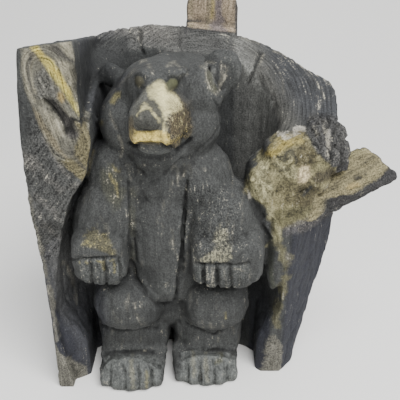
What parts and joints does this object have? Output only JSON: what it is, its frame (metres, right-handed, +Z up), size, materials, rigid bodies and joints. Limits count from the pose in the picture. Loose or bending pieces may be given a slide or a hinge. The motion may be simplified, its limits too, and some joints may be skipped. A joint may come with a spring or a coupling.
{
  "type": "chainsaw carved bear",
  "caption": "Chainsaw-carved bear standing in the hollow of an open-fronted log, with a split side branch and an upright stub; decorative statue.",
  "frame": {"origin": "middle of the bounding box, at the underside the carving stands on", "axes": "+Z up along the trunk; -Y is the open front that the bear faces; +X is the viewer's right when looking at the bear's face"},
  "size_m": [0.4114, 0.2666, 0.444],
  "materials": {
    "charred_wood": "weathered black paint and char over rough chainsaw-cut wood, worn through to raw wood in places"
  },
  "bodies": {
    "root": {"bear_in_hollow_log": "charred_wood"}
  },
  "joints": []
}
